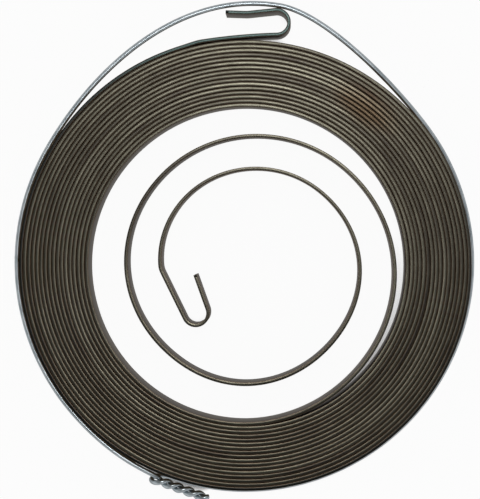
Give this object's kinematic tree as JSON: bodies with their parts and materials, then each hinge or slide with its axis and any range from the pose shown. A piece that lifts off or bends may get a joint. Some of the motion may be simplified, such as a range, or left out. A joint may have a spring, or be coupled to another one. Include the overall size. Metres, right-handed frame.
{
  "type": "spiral power spring",
  "caption": "Flat spiral power spring of steel strip, coiled tight, with an inner crook for a hub, an outer hook for a housing, and a tie wire that holds it wound.",
  "frame": {"origin": "on the coil's axis, in the plane of the strip's lower edge, on which the spring lies", "axes": "+Z along the coil's axis, out of the face seen in the picture; +X to the picture's right and +Y to its top, where the outer hook is"},
  "size_m": [0.0828, 0.09, 0.009],
  "materials": {
    "spring_steel": "cold-rolled and tempered, dark and lightly oiled, with rounded edges",
    "galvanised_wire": "zinc-coated, drawn smooth, half dull"
  },
  "bodies": {
    "root": {"spring_strip": "spring_steel", "binding_wire": "galvanised_wire"}
  },
  "joints": []
}
